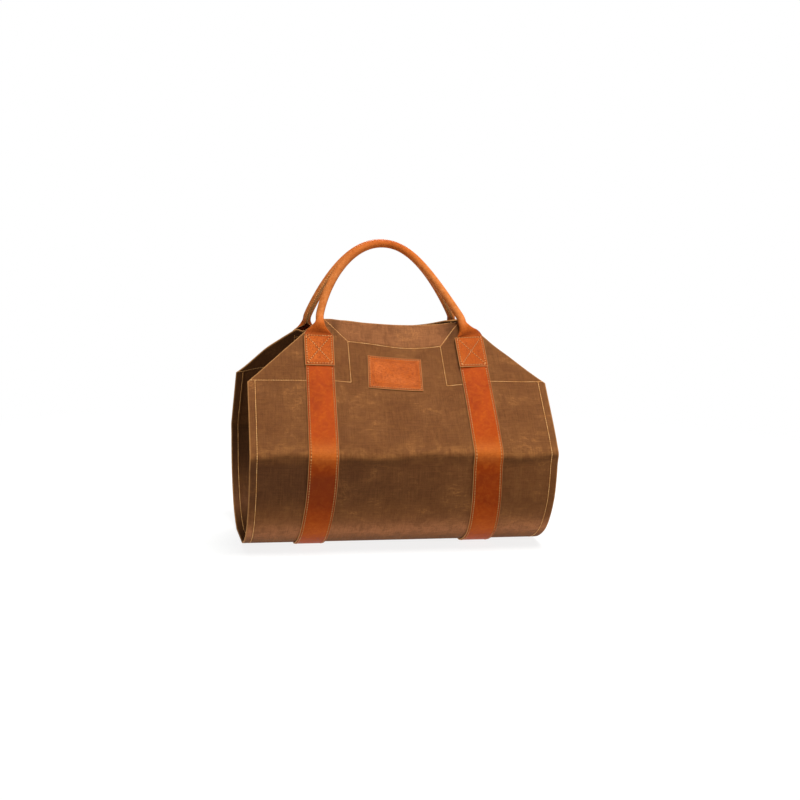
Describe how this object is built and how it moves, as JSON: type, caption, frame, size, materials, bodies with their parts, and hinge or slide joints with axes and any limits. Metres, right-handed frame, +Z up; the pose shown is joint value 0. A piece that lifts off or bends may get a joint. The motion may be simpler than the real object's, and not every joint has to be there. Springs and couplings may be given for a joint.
{
  "type": "canvas log carrier",
  "caption": "Open-ended sling of waxed canvas for firewood, on leather straps with two rolled leather handles.",
  "frame": {"origin": "on the floor, under the middle of the carrier", "axes": "+Z up, -Y out of the front with the patch, +X along the logs to the right as seen from the front"},
  "size_m": [0.508, 0.3378, 0.5087],
  "materials": {
    "canvas": "waxed cotton canvas, rubbed",
    "leather": "oiled vegetable-tanned leather"
  },
  "bodies": {
    "root": {"canvas_body": "canvas", "strap_left": "leather", "strap_right": "leather", "handle_front": "leather", "handle_rear": "leather", "label_patch": "leather"}
  },
  "joints": []
}
